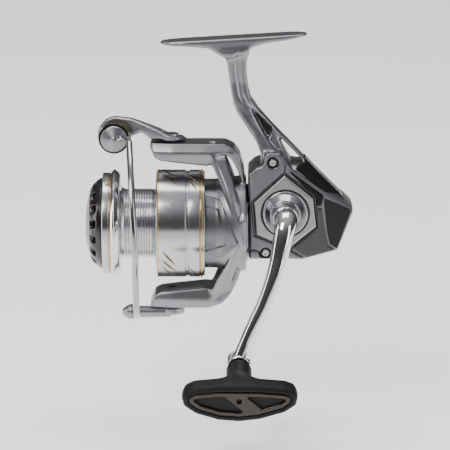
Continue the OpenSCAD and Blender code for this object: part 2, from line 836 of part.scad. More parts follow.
module spool() {
    color(SILVER) turned([
        [4.4, -83], [7, -83], [7, -79], [14.6, -79], [14.6, -90.6], [25.3, -90.6], [25.3, -87.4],
        [24.6, -87], [24.6, -81.9], [18.4, -81.6], [arbor_r, -80.4], [arbor_r, -65.6],
        [18.6, arbor_back], [skirt_r, arbor_back + 0.4], [skirt_r, -49.4], [26.4, -49.2],
        [26.4, -47.6], [skirt_r, -47.4], [skirt_r, -42.4], [26.2, -42.2], [26.2, skirt_back],
        [24.8, skirt_back], [24.8, -62], [14.4, -62], [14.4, -76.6], [7, -76.6], [7, -59], [4.4, -59]
    ]);
}

module spool_lip() {
    color(CHROME) turned([
        [24.65, -86.3], [26.2, -86.1], [lip_r, lip_x], [25.6, -82.6], [24.65, -82]
    ]);
}

module spool_rings() {
    color(GOLD) {
        tube_x(-86.95, -86.35, 25.2, 24.65);
        turned([[26.85, -63.4], [27.1, -63.2], [27.1, -62.6], [26.85, -62.4]]);
        turned([[26.25, -42.1], [27, -41.9], [27, -40.9], [26.25, -40.7]]);
    }
}

drag_layers = 3;
drag_pitch = 2.2;

module drag_felts() {
    color(FELT) for (i = [0 : drag_layers - 1])
        tube_x(-80.2 - i * drag_pitch, -79.1 - i * drag_pitch, 13.8, 7.3);
}

module drag_discs() {
    color(STEEL) for (i = [0 : drag_layers - 1])
        tube_x(-81.2 - i * drag_pitch, -80.3 - i * drag_pitch, 13.6, 7.3);
}

module drag_clip() {
    color(STEEL) translate([-86.4, 0, 0]) rotate([0, 90, 0])
        rotate_extrude() translate([14.1, 0]) circle(r = 0.45, $fn = 24);
}

module click_tongue() {
    color(STEEL) translate([-61.9, -1, 7.1]) cube([3, 2, 3.4]);
}

knob_window_count = 16;
knob_window_r = 1.6;
knob_window_ring = 18.9;

module drag_knob() {
    color(BLACK) difference() {
        turned([
            [0, knob_tip], [9, -98.6], [18.2, -96.2], [21.2, -94.2], [drag_knob_r, knob_back],
            [21.4, knob_back], [19.6, -93.2], [16, -94.8], [8, -95.6], [8, -91.2], [5.3, -91.2],
            [5.3, -96.2], [0, -96.2]
        ]);
        for (i = [0 : knob_window_count - 1]) rotate([(i + 0.5) * 360 / knob_window_count, 0, 0])
            translate([-100, 0, knob_window_ring]) rotate([0, 90, 0])
                cylinder(r = knob_window_r, h = 12);
    }
}

module drag_nut() {
    color(BRASS) difference() {
        translate([-94.6, 0, 0]) rotate([0, 90, 0]) cylinder(r = 5.1, h = 3.4);
        translate([-96, 0, 0]) rotate([0, 90, 0]) cylinder(r = shaft_r + run_gap, h = 8);
    }
}

module worm_shaft() {
    color(STEEL) translate([seat_back - 2, worm_y, worm_z]) rotate([0, 90, 0]) {
        cylinder(r = 1.2, h = 40.6);
        translate([0, 0, 6.6]) cylinder(r = 2.2, h = 27.4);
        translate([0, 0, 3.6]) linear_extrude(1.6)
            spur_outline(oscillate_teeth, oscillate_pitch_r, worm_phase);
    }
}

module idler_gear() {
    color(BRASS) translate([seat_back - 2, idler_y, idler_z]) rotate([0, 90, 0]) {
        cylinder(r = 0.9, h = 4);
        translate([0, 0, 3.4]) linear_extrude(2)
            spur_outline(oscillate_teeth, oscillate_pitch_r, idler_phase);
    }
}

// The assembly
place() housing();
place() side_cover();
place() engine_plate();
place() cover_screws();
place() side_collar();
place() rear_guard();
place() rear_panel();
place() trim_panel();
place() far_cap();
place() drive_bearings();
place() pinion_bearings();
place() clutch_race();
place() clutch_rollers();
place() clutch_retainer();
place() retainer_screws();
place() guide_rod();
place() worm_bushes();
place() drive_gear();
place() crank_hub();
place() crank_arm();
place() knob_pin();
place() knob_bushes();
place() knob_grip();
place() knob_inlay();
place() knob_screw();
place() pinion();
place() clutch_sleeve();
place() rotor();
place() rotor_nut();
place() nut_lock();
place() rotor_plate();
place() bail_arm_cover();
place() lower_arm_cover();
place() bail_pivot_screws();
place() bail_spring();
place() trip_lever();
place() bail_lever();
place() roller_cap();
place() roller_screw();
place() bail_wire();
place() bail_holder();
place() line_roller();
place() roller_bearing();
place() main_shaft();
place() crosshead();
place() crosshead_pawl();
place() crosshead_screw();
place() spool_bearings();
place() click_wheel();
place() spool();
place() spool_lip();
place() spool_rings();
place() drag_felts();
place() drag_discs();
place() drag_clip();
place() click_tongue();
place() drag_knob();
place() drag_nut();
place() worm_shaft();
place() idler_gear();
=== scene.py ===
"""Looks of the spinning reel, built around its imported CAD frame.

Castings are modelled as distance fields and meshed, turned pieces are lathed, and wires are swept.
Points are in millimetres from the spool axis: +X to the back of the reel, +Z up, -Y to the crank.
"""

import json
import math

import bmesh
import bpy
import numpy as np
import openvdb as vdb
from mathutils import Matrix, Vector


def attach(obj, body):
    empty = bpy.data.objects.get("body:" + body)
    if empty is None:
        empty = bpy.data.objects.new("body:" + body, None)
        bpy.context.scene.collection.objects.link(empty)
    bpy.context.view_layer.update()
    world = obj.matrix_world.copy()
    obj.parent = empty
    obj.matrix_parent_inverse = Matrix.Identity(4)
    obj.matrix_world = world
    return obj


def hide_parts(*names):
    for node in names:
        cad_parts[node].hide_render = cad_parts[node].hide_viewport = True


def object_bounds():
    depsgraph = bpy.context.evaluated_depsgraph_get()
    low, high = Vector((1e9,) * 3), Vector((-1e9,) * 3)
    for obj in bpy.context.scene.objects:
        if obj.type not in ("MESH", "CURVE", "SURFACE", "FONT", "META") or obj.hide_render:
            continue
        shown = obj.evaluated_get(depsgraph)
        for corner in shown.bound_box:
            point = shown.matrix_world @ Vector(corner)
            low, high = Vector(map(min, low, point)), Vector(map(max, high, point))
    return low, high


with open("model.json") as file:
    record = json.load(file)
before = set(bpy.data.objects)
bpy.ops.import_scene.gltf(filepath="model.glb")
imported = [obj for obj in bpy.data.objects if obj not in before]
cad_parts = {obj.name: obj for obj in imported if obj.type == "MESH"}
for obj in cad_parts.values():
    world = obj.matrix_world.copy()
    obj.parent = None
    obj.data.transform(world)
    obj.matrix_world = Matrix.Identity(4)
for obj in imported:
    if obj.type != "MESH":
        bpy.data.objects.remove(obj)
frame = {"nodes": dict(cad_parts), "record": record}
CAD_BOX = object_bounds()

MM = 0.001
SHAFT = Vector((0.0255, 0.0, -0.0946))  # the crank axis on the spool axis, from the foot's seat
CRANK_Z = 8.9
CRANK_END = (-23.0, -52.0, -59.2)
KNOB_TILT = math.radians(12)
BAIL_X = -56.2
ROLLER = (-84.8, 44.0)
SWEEP_R = 46.5
WIRE_R = 1.6
FOOT_X, FOOT_Z = -25.5, 94.6
FOOT_TILT = math.radians(3.4)
CASE_HALF = 14.6
COVER_FACE = -17.0
PANEL_FACE = -17.8
PIVOT_R = 2.3
CUP_SPLIT = -34
CUP_BORE_FRONT, CUP_BORE_BACK = 20.3, 20.6
DRAG_WINDOWS = 16


# ---------------------------------------------------------------- meshes

def new_mesh(name, verts, faces, smooth=True, sharp=None):
    """A mesh object from points in millimetres about the spool axis."""
    mesh = bpy.data.meshes.new(name)
    points = [Vector(v) * MM + SHAFT for v in verts]
    mesh.from_pydata(points, [], [tuple(f) for f in faces])
    mesh.update()
    obj = bpy.data.objects.new(name, mesh)
    bpy.context.scene.collection.objects.link(obj)
    if smooth:
        mesh.shade_smooth()
        if sharp:
            mesh.set_sharp_from_angle(angle=math.radians(sharp))
    return obj


def turn_points(outline, about="x", origin=(0, 0, 0), tilt=0.0, steps=96):
    """Lathes [radius, station] points. About y, a station counts outwards, to -y."""
    verts = []
    faces = []
    count = len(outline)
    for i in range(steps):
        a = 2 * math.pi * i / steps
        for r, h in outline:
            u, v = r * math.cos(a), r * math.sin(a)
            if about == "x":
                p = (h, v, u)
            elif about == "y":
                out = Vector((0, -math.cos(tilt), -math.sin(tilt)))
                up = Vector((0, -math.sin(tilt), math.cos(tilt)))
                p = Vector((u, 0, 0)) + up * v + out * h
            else:
                p = (u, v, h)
            verts.append(Vector(p) + Vector(origin))
    for i in range(steps):
        j = (i + 1) % steps
        for k in range(count):
            n = (k + 1) % count
            faces.append((i * count + k, j * count + k, j * count + n, i * count + n))
    return verts, faces


def rounded(outline, radius=0.2, steps=3):
    """Rounds the corners of a closed outline."""
    out = []
    count = len(outline)
    for i in range(count):
        p0, p1, p2 = (Vector(outline[(i + k) % count]) for k in (-1, 0, 1))
        a, b = p0 - p1, p2 - p1
        if a.length < 1e-6 or b.length < 1e-6 or p1.x < 1e-6:
            out.append(tuple(p1))
            continue
        cut = min(radius, a.length * 0.4, b.length * 0.4)
        start, end = p1 + a.normalized() * cut, p1 + b.normalized() * cut
        for s in range(steps + 1):
            t = s / steps
            q = start.lerp(p1, t).lerp(p1.lerp(end, t), t)
            out.append(tuple(q))
    return out


def lathe(name, outline, about="x", origin=(0, 0, 0), tilt=0.0, steps=96, soft=0.2):
    """A turned piece with softened edges."""
    verts, faces = turn_points(rounded(outline, soft), about, origin, tilt, steps)
    obj = new_mesh(name, verts, faces)
    clean = bmesh.new()
    clean.from_mesh(obj.data)
    bmesh.ops.remove_doubles(clean, verts=clean.verts, dist=1e-7)
    bmesh.ops.recalc_face_normals(clean, faces=clean.faces)
    clean.to_mesh(obj.data)
    clean.free()
    obj.data.shade_smooth()
    obj.data.set_sharp_from_angle(angle=math.radians(35))
    return obj


def curve_points(points, steps):
    """A smooth path through given points, by Catmull-Rom."""
    pts = [np.array(p, float) for p in points]
    pts = [2 * pts[0] - pts[1]] + pts + [2 * pts[-1] - pts[-2]]
    out = []
    for i in range(1, len(pts) - 2):
        p0, p1, p2, p3 = pts[i - 1: i + 3]
        for s in range(steps):
            t = s / steps
            out.append(0.5 * (2 * p1 + (p2 - p0) * t + (2 * p0 - 5 * p1 + 4 * p2 - p3) * t * t
                              + (3 * p1 - p0 - 3 * p2 + p3) * t ** 3))
    out.append(pts[-2])
    return out


def sweep(name, path, sizes, around=20, flat_up=(1, 0, 0)):
    """A tube along a path; sizes gives (half width, half depth) at each path point."""
    verts = []
    faces = []
    count = len(path)
    for i, p in enumerate(path):
        ahead = path[min(i + 1, count - 1)] - path[max(i - 1, 0)]
        ahead = ahead / np.linalg.norm(ahead)
        side = np.array(flat_up, float)
        side = side - ahead * side.dot(ahead)
        side = side / np.linalg.norm(side)
        depth = np.cross(ahead, side)
        w, d = sizes[i]
        for k in range(around):
            a = 2 * math.pi * k / around
            verts.append(p + side * w * math.cos(a) + depth * d * math.sin(a))
    for i in range(count - 1):
        for k in range(around):
            n = (k + 1) % around
            faces.append((i * around + k, i * around + n, (i + 1) * around + n, (i + 1) * around + k))
    faces.append(tuple(range(around))[::-1])
    faces.append(tuple((count - 1) * around + k for k in range(around)))
    return new_mesh(name, verts, faces, sharp=50)


# ---------------------------------------------------------------- distance fields

class Field:
    """A block of space, sampled in millimetres, where distances to a shape are worked out."""

    def __init__(self, low, high, step):
        self.low = np.array(low, float)
        self.step = step
        count = np.ceil((np.array(high, float) - self.low) / step).astype(int) + 1
        axes = [self.low[i] + step * np.arange(count[i]) for i in range(3)]
        self.x = axes[0][:, None, None]
        self.y = axes[1][None, :, None]
        self.z = axes[2][None, None, :]

    def mesh(self, name, distance, smooth=2):
        """Smooths the distances, closes the block's faces and meshes the surface."""
        d = np.broadcast_to(distance, (self.x.size, self.y.size, self.z.size)).astype(np.float32)
        for _ in range(smooth):
            for axis in range(3):
                d = 0.5 * d + 0.25 * (np.roll(d, 1, axis) + np.roll(d, -1, axis))
        d[0], d[-1] = 1, 1
        d[:, 0], d[:, -1] = 1, 1
        d[:, :, 0], d[:, :, -1] = 1, 1
        grid = vdb.FloatGrid(background=1.0)
        grid.copyFromArray(np.ascontiguousarray(d))
        points, tris, quads = grid.convertToPolygons(isovalue=0.0)
        verts = points * self.step + self.low
        faces = [tuple(f[::-1]) for f in tris] + [tuple(f[::-1]) for f in quads]
        return new_mesh(name, verts, faces)


def polygon_field(u, v, points):
    """Signed distance to a closed polygon, on any two crossed coordinates."""
    u, v = np.broadcast_arrays(u, v)
    best = np.full(u.shape, 1e9)
    inside = np.zeros(u.shape, bool)
    for (ax, ay), (bx, by) in zip(points, points[1:] + points[:1]):
        ex, ey = bx - ax, by - ay
        t = np.clip(((u - ax) * ex + (v - ay) * ey) / (ex * ex + ey * ey + 1e-12), 0, 1)
        best = np.minimum(best, np.hypot(u - ax - t * ex, v - ay - t * ey))
        crosses = ((ay > v) != (by > v)) & (u < (bx - ax) * (v - ay) / ((by - ay) or 1e-12) + ax)
        inside ^= crosses
    return np.where(inside, -best, best)


def line_field(u, v, points):
    """Distance to an open line of points."""
    u, v = np.broadcast_arrays(u, v)
    best = np.full(u.shape, 1e9)
    for (ax, ay), (bx, by) in zip(points, points[1:]):
        ex, ey = bx - ax, by - ay
        t = np.clip(((u - ax) * ex + (v - ay) * ey) / (ex * ex + ey * ey + 1e-12), 0, 1)
        best = np.minimum(best, np.hypot(u - ax - t * ex, v - ay - t * ey))
    return best


def join(a, b, r=1.0):
    """Smooth union."""
    h = np.clip(0.5 + 0.5 * (b - a) / r, 0, 1)
    return b + (a - b) * h - r * h * (1 - h)


def meet(a, b, r=1.0):
    """Smooth intersection."""
    return -join(-a, -b, r)


def cut(a, b, r=0.5):
    """Smooth difference, a without b."""
    return meet(a, -b, r)


# ---------------------------------------------------------------- materials

GRAIN_SCALE = 900.0
WEAR_SCALE = 120.0
BUMP_SCALE = 2500.0
BUMP_DEPTH = 0.0002  # metres
LATHE_LINES = 1500.0


def shader(name, color, metallic, roughness, grain=0.06, bump=0.02, coat=0.0, rough_swing=0.05,
           specular=0.5):
    """A principled surface with drifting colour and roughness and a fine bump."""
    mat = bpy.data.materials.new(name)
    mat.use_nodes = True
    nodes = mat.node_tree.nodes
    links = mat.node_tree.links
    surface = nodes["Principled BSDF"]
    surface.inputs["Metallic"].default_value = metallic
    surface.inputs["Coat Weight"].default_value = coat
    surface.inputs["Coat Roughness"].default_value = 0.06
    surface.inputs["Specular IOR Level"].default_value = specular
    place = nodes.new("ShaderNodeTexCoord")
    drift = nodes.new("ShaderNodeTexNoise")
    drift.inputs["Scale"].default_value = GRAIN_SCALE
    drift.inputs["Detail"].default_value = 4.0
    links.new(place.outputs["Object"], drift.inputs["Vector"])
    tone = nodes.new("ShaderNodeValToRGB")
    low = [max(0.0, c * (1 - grain)) for c in color]
    high = [min(1.0, c * (1 + grain)) for c in color]
    tone.color_ramp.elements[0].position = 0.3
    tone.color_ramp.elements[1].position = 0.7
    tone.color_ramp.elements[0].color = (*low, 1)
    tone.color_ramp.elements[1].color = (*high, 1)
    links.new(drift.outputs["Fac"], tone.inputs["Fac"])
    links.new(tone.outputs["Color"], surface.inputs["Base Color"])
    wear = nodes.new("ShaderNodeTexNoise")
    wear.inputs["Scale"].default_value = WEAR_SCALE
    wear.inputs["Detail"].default_value = 3.0
    links.new(place.outputs["Object"], wear.inputs["Vector"])
    swing = nodes.new("ShaderNodeMapRange")
    swing.inputs["To Min"].default_value = max(0.02, roughness - rough_swing)
    swing.inputs["To Max"].default_value = roughness + rough_swing
    links.new(wear.outputs["Fac"], swing.inputs["Value"])
    links.new(swing.outputs["Result"], surface.inputs["Roughness"])
    fine = nodes.new("ShaderNodeTexNoise")
    fine.inputs["Scale"].default_value = BUMP_SCALE
    fine.inputs["Detail"].default_value = 2.0
    links.new(place.outputs["Object"], fine.inputs["Vector"])
    relief = nodes.new("ShaderNodeBump")
    relief.inputs["Strength"].default_value = bump
    relief.inputs["Distance"].default_value = BUMP_DEPTH
    links.new(fine.outputs["Fac"], relief.inputs["Height"])
    links.new(relief.outputs["Normal"], surface.inputs["Normal"])
    return mat


def turned_shader(name, color, roughness):
    """Metal with fine lathe lines around the spool axis."""
    mat = shader(name, color, 1.0, roughness, grain=0.05, bump=0.05)
    nodes = mat.node_tree.nodes
    links = mat.node_tree.links
    wave = nodes.new("ShaderNodeTexWave")
    wave.bands_direction = "X"
    wave.inputs["Scale"].default_value = LATHE_LINES
    wave.inputs["Distortion"].default_value = 0.1
    links.new(nodes["Texture Coordinate"].outputs["Object"], wave.inputs["Vector"])
    links.new(wave.outputs["Fac"], nodes["Bump"].inputs["Height"])
    return mat


SILVER = shader("silver_casting", (0.32, 0.325, 0.34), 1.0, 0.36, grain=0.05, bump=0.02, rough_swing=0.02)
SILVER_DARK = shader("silver_cover", (0.22, 0.225, 0.235), 1.0, 0.36, grain=0.05, bump=0.02,
                     rough_swing=0.02)
PLATE = shader("engine_plate", (0.42, 0.42, 0.43), 1.0, 0.36, grain=0.05, bump=0.04)
SPOOL = turned_shader("spool_aluminium", (0.60, 0.61, 0.63), 0.2)
CHROME = shader("polished_chrome", (0.80, 0.81, 0.83), 1.0, 0.07, grain=0.02, rough_swing=0.03, bump=0.01)
COLLAR = shader("collar_satin_chrome", (0.50, 0.51, 0.53), 1.0, 0.22, grain=0.03, bump=0.01)
STEEL = shader("machined_steel", (0.55, 0.56, 0.58), 1.0, 0.25)
GOLD = shader("gold_anodised", (0.72, 0.50, 0.20), 1.0, 0.20, grain=0.05)
BRASS = shader("machined_brass", (0.70, 0.55, 0.28), 1.0, 0.28)
GLOSS = shader("black_gloss", (0.008, 0.008, 0.009), 0.0, 0.16, grain=0.25, bump=0.01, specular=0.22)
DRAG = shader("drag_black", (0.020, 0.014, 0.012), 0.3, 0.2, grain=0.3, coat=0.5, bump=0.02)
CHARCOAL = shader("charcoal_matte", (0.016, 0.016, 0.018), 0.0, 0.5, grain=0.25, bump=0.15, specular=0.3)
GREY = shader("grey_panel", (0.11, 0.107, 0.105), 1.0, 0.34, grain=0.08)
WIRE = shader("bail_wire_steel", (0.45, 0.455, 0.47), 1.0, 0.17, grain=0.04)
BRONZE = shader("dark_bronze", (0.060, 0.052, 0.047), 1.0, 0.24, grain=0.12)
RUBBER = shader("black_rubber", (0.008, 0.008, 0.009), 0.0, 0.52, grain=0.25, bump=0.15, specular=0.22)
FELT = shader("oiled_felt", (0.10, 0.09, 0.08), 0.0, 0.9, grain=0.3, bump=0.4)
# painted shade: flat black for the shadow round the collar, the screw pockets and the insides of the spool's
# slots
SHADE_BLACK = shader("painted_shade_black", (0.01, 0.01, 0.01), 0.0, 0.5, grain=0.3)

SLOT_MATERIAL = {
    "silver_casting": SILVER, "spool_aluminium": SPOOL, "chrome": CHROME, "gold": GOLD,
    "black_gloss": GLOSS, "charcoal": CHARCOAL, "grey_panel": GREY, "bronze": BRONZE,
    "rubber": RUBBER, "brass": BRASS, "felt": FELT, "steel": STEEL,
}


def paint(obj, mat):
    """Gives an object one material."""
    obj.data.materials.clear()
    obj.data.materials.append(mat)


def finish_piece(obj, mat, body, node, slot, *more):
    """Paints a piece, puts it on its body and lets it stand for its CAD nodes."""
    paint(obj, mat)
    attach(obj, body)
    if node:
        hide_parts(node, *more)


ARM_COVERS = ("bail_arm_cover", "lower_arm_cover")


def paint_frame():
    """Gives every CAD node that stays its slot's material."""
    slots = {s["node"]: s["material_slot"] for s in frame["record"]["subparts"]}
    for node, obj in frame["nodes"].items():
        paint(obj, SILVER_DARK if node in ARM_COVERS else SLOT_MATERIAL[slots[node]])
        obj.data.shade_smooth()
        obj.data.set_sharp_from_angle(angle=math.radians(30))


# ---------------------------------------------------------------- housing

def foot_field(f):
    """The foot: a thin plate with rounded ends, thicker over the stem, tilted about its seat."""
    dx, dz = f.x - FOOT_X, f.z - FOOT_Z
    u = dx * math.cos(FOOT_TILT) + dz * math.sin(FOOT_TILT)
    w = -dx * math.sin(FOOT_TILT) + dz * math.cos(FOOT_TILT)
    side = polygon_field(u, w, [(-36.5, -0.1), (36.5, -0.1), (36.5, -1.6), (27, -2.7), (16, -3.6),
    (8, -5.4),
                                (-1, -8.4), (-8, -8.0), (-12.5, -4.6), (-20, -3.4), (-36.5, -1.9)])
    half = np.interp(np.abs(u), [0, 24, 31, 35, 36.5, 37], [7.1, 7.0, 6.3, 4.3, 2.0, 0.5])
    return meet(side, np.abs(f.y) - half, 1.0)


CASE_OUTLINE = [
    (-18.3, 28), (-14.6, 31.4), (-11.6, 32.4), (-10.2, 34.6), (-9.9, 38.6), (-2.4, 38.6), (2.9, 31.2),
    (19.15, 19.6), (29, 14.0), (33.9, 9.2), (26.4, -10.4), (18, -12.8), (8.4, -15.1), (1.2, -14.7),
    (-18.3, -14.9)]
STEM_WINDOW = [(-4.2, 46.4), (8.8, 33.4), (8.8, 31.4), (3.0, 32.2)]
ROOF_OUTLINE = [(-6, 49.4), (1.6, 42.6), (17.4, 25.8), (34, 9.2), (26, 0), (0, 20), (-10, 40)]


def roof_side(f):
    """The wedge over the back of the case: narrow along its ridge, as wide as the case at its foot."""
    below = -np.maximum((f.x - 1.6) * 0.728 + (f.z - 42.6) * 0.685,
                        (f.x - 17.4) * 0.707 + (f.z - 25.8) * 0.707)
    along = f.x + below * 0.707
    inset = np.interp(along, [0, 4, 9, 19, 33], [60, 16, 6.6, 3.2, 1.0])
    wide = 5.2 + 11.2 * np.clip(below, 0, None) / inset
    flank = (np.abs(f.y) - np.minimum(wide, CASE_HALF)) * np.interp(along, [4, 9, 33], [0.95, 0.5, 0.3])
    return np.maximum(polygon_field(f.x, f.z, ROOF_OUTLINE), flank)


def make_housing():
    """Foot, stem, case and nose in one casting, with the stem's recess and a black sheet of painted shade in
    it.
    """
    f = Field((-63.5, -17.5, -18), (37, 17.5, 97), 0.45)
    outline = [
        (-29.9, 86.5), (-28.9, 82), (-26.9, 68), (-25.7, 61.9), (-23.9, 57.4), (-19.2, 50.3), (-14.1, 42.7),
        (-11.5, 36), (-12, 26), (6, 26), (17.4, 25.8), (1.6, 42.6), (-13, 58.5), (-16.8, 64.1),
        (-18.2, 69.7), (-19.1, 77.5), (-18.8, 83.6), (-17.6, 87.5)]
    levels = [-20, 30, 38, 46, 56, 64, 72, 84, 90]
    half = np.interp(f.z, levels, [13.5, 13.5, 10.5, 8.2, 7.2, 6.6, 5.8, 6.2, 7.0])
    # the front strut carries the width; towards the back strut the casting thins
    back = np.clip(0.728 * (f.x - 1.6) + 0.685 * (f.z - 42.6) + 7, 0, 7) / 7 * np.clip((62 - f.z) / 8, 0, 1)
    half = half - (half - 5.0) * back
    centre = line_field(f.x, f.z, [(-24.2, 90), (-23.6, 78), (-21.8, 66), (-18.6, 60)])
    flute = 1.0 * np.exp(-(centre / 0.9) ** 2) * np.clip((f.z - 58) / 6, 0, 1)
    stem = meet(polygon_field(f.x, f.z, outline), np.abs(f.y) - half + flute, 1.4)
    # a dark recess between the two struts, open right through at its lower end
    recess = polygon_field(f.x, f.z, [(-18.2, 61.6), (-3.8, 46.8), (8.6, 33.2), (8.6, 31.2), (1, 31.6),
                                      (-8, 42.6)])
    stem = cut(stem, np.maximum(recess, 2.6 - np.abs(f.y)), 0.4)
    window = polygon_field(f.x, f.z, STEM_WINDOW)
    stem = cut(stem, window, 0.6)
    case = meet(polygon_field(f.x, f.z, CASE_OUTLINE), np.abs(f.y) - CASE_HALF, 1.2)
    floor = np.clip(np.abs(f.y) - 9, 0, 9) * 0.2 * np.clip((-f.z - 6) / 6, 0, 1)
    case = cut(join(case + floor, roof_side(f), 0.8), window, 0.6)
    body = join(stem, case, 0.8)
    radius = np.sqrt(f.y ** 2 + f.z ** 2)
    nose = np.maximum(radius - 19.4, np.abs(f.x + 24.6) - 6.3)
    nose = cut(nose, np.maximum(radius - 12.2, f.x + 25), 0.3)
    solid = join(body, nose, 0.6)
    solid = join(solid, foot_field(f), 4.0)
    # keep the seat flat after blending
    top = -(f.x - FOOT_X) * math.sin(FOOT_TILT) + (f.z - FOOT_Z) * math.cos(FOOT_TILT)
    solid = meet(solid, top, 0.5)
    # the far-side cap's seat
    solid = cut(solid, np.maximum(np.hypot(f.x, f.z - CRANK_Z) - 7.4, 14.2 - f.y), 0.4)
    finish_piece(f.mesh("housing_shell", solid, smooth=3), SILVER, "frame", "housing", "silver_casting")
    # the recess between the struts is lined with a black gloss sheet: painted shade and a painted dark
    # reflection
    f = Field((-20, -3.6, 30), (5, 3.6, 64), 0.3)
    floor = polygon_field(f.x, f.z, [(-17.2, 60.2), (-4.2, 46.6), (3.2, 32.2), (1.2, 32), (-7.8, 42.8)])
    floor = cut(np.maximum(floor, np.abs(f.y) - 2.9), polygon_field(f.x, f.z, STEM_WINDOW), 0.2)
    finish_piece(f.mesh("stem_recess_painted_shade", floor, smooth=0), GLOSS, "frame", None, "black_gloss")


def plate_piece(name, outline, y_face, thick, bevel, mat, node, slot, pockets=(), grooves=()):
    """A cover plate on the crank side: a bevelled outline from its face inwards."""
    xs, zs = [p[0] for p in outline], [p[1] for p in outline]
    edge = 1.5
    f = Field((min(xs) - edge, y_face - edge, min(zs) - edge),
              (max(xs) + edge, y_face + thick + edge, max(zs) + edge), 0.3)
    flat = polygon_field(f.x, f.z, outline)
    depth = f.y - y_face
    d = np.maximum(flat, -depth)
    d = np.maximum(d, (flat - depth + bevel) * 0.707)
    d = np.maximum(d, f.y - y_face - thick)
    for points, wide, deep in grooves:
        d = cut(d, np.maximum(line_field(f.x, f.z, points) - wide, depth - deep), 0.15)
    for cx, cz, r, deep in pockets:
        d = cut(d, np.maximum(np.hypot(f.x - cx, f.z - cz) - r, depth - deep), 0.2)
    finish_piece(f.mesh(name, d, smooth=1), mat, "frame", node, slot)


HEX_PLATE = [(-0.45, 28.3), (13.9, 16.6), (15.6, 2.1), (2.2, -9.0), (-14.55, -1.8), (-15.75, 14.15)]
SCREWS = [(-6.2, 34.2), (-9.6, -11.5)]
PLATE_BORE = 9.8
SHADOW_R = 12.4


def grown(points, by):
    """A convex outline moved outwards about its middle."""
    cx = sum(p[0] for p in points) / len(points)
    cz = sum(p[1] for p in points) / len(points)
    out = []
    for x, z in points:
        far = math.hypot(x - cx, z - cz)
        out.append((x + (x - cx) / far * by, z + (z - cz) / far * by))
    return out


def make_covers():
    """Side cover, hexagonal plate, panels and screws on the crank side of the case."""
    cover = [(-17.9, 28.6), (-14.6, 31.6), (-11.8, 32.6), (-10.4, 34.2), (-10.2, 37.0), (-9.0, 38.9),
             (-2.6, 38.9), (-1.15, 36.8), (2.9, 31.5), (19.15, 19.8), (32.9, 11.4), (33.5, 9.4),
             (26, -9.9), (17.95, -12.2), (8.4, -14.9), (1.25, -14.5), (-17.9, -14.7)]
    hexagon = grown(HEX_PLATE, 0.7)
    plate_piece("side_cover_skin", cover, COVER_FACE, 2.5, 1.0, SILVER_DARK, "side_cover", "silver_casting",
                pockets=[(*SCREWS[0], 2.9, 1.6), (*SCREWS[1], 2.8, 1.6), (0, CRANK_Z, 5.2, 9)],
                grooves=[(hexagon + hexagon[:1], 0.55, 1.5),
                         ([(-0.4, 29), (-0.2, 33.4), (-2.6, 38.9)], 0.35, 1.0),
                         ([(-18, -9.6), (-13.2, -10.4), (-12.4, -12.6), (-11.6, -14.8)], 0.35, 1.0),
                         ([(2.2, -9.6), (10.6, -14.6)], 0.4, 1.0)])
    plate_piece("engine_plate_skin", HEX_PLATE, -18.2, 1.3, 0.8, PLATE, "engine_plate", "silver_casting",
                pockets=[(0, CRANK_Z, PLATE_BORE, 9)])
    shadow = [(SHADOW_R * math.cos(a), CRANK_Z + SHADOW_R * math.sin(a))
              for a in np.linspace(0, 2 * math.pi, 37)[:-1]]
    plate_piece("collar_shadow", shadow, -18.45, 0.7, 0.2, SHADE_BLACK, None, "black_gloss",
                pockets=[(0, CRANK_Z, PLATE_BORE, 9)])
    band = [(0.9, 30.2), (3.2, 29.6), (19.0, 18.0), (19.2, 16.6), (18.0, 12.6), (15.3, 12.2), (14.9, 16.6)]
    plate_piece("cover_black_band", band, -17.6, 0.8, 0.5, GLOSS, None, "black_gloss")
    panel = [(19.0, 16.8), (32.2, 11.2), (32.8, 9.6), (25.9, -9.4), (22.0, -6.8), (20.6, -0.6), (19.1, 13)]
    plate_piece("rear_panel_skin", panel, PANEL_FACE, 0.9, 0.6, CHARCOAL, "rear_panel", "charcoal")
    trim = [(15.5, 11.6), (18.2, 11.6), (18.6, 9), (20.1, -0.8), (21.5, -7), (25.2, -9.9), (17.6, -11.9),
            (10.8, -13.8), (3.2, -8.9), (16.2, 2.0)]
    plate_piece("trim_panel_skin", trim, PANEL_FACE, 0.9, 0.5, GREY, "trim_panel", "grey_panel")
    for i, (x, z) in enumerate(SCREWS):
        # a black cup lines each screw's pocket: painted shade around the head
        well = [(0.01, 15.5), (2.85, 15.5), (2.85, 16.9), (2.5, 16.9), (2.5, 15.9), (0.01, 15.9)]
        obj = lathe("screw_well_%d" % (i + 1), well, "y", (x, 0, z), steps=40, soft=0.1)
        finish_piece(obj, SHADE_BLACK, "frame", None, "black_gloss")
    f = Field((-13, -17.5, -15), (-3, -15, 38), 0.22)
    heads = 1e3  # millimetres: nothing yet
    for x, z in SCREWS:
        far = np.hypot(f.x - x, f.z - z)
        head = meet(far - 1.75, np.abs(f.y + 16.1) - 0.6, 0.3)
        heads = np.minimum(heads, cut(head, np.maximum(far - 0.8, f.y + 16.1), 0.1))
    finish_piece(f.mesh("cover_screw_heads", heads, smooth=0), STEEL, "frame", "cover_screws", "steel")


def make_guard():
    """Black gloss guard over the back of the case, from one side's edge to the other."""
    f = Field((0, -18, 6), (36, 18, 36), 0.35)
    sides = meet(polygon_field(f.x, f.z, CASE_OUTLINE), np.abs(f.y) - CASE_HALF, 1.2)
    case = np.minimum(roof_side(f), sides)
    edge = polygon_field(f.x, f.z, [(4.6, 31.0), (19.15, 19.6), (33.4, 12.2), (40, 8), (40, 40), (8.6, 40),
                                    (9.6, 32.6)])
    d = np.maximum(np.maximum(case - 0.4, -(case + 1.2)), edge)
    finish_piece(f.mesh("rear_guard_skin", d, smooth=1), GLOSS, "frame", "rear_guard", "black_gloss")


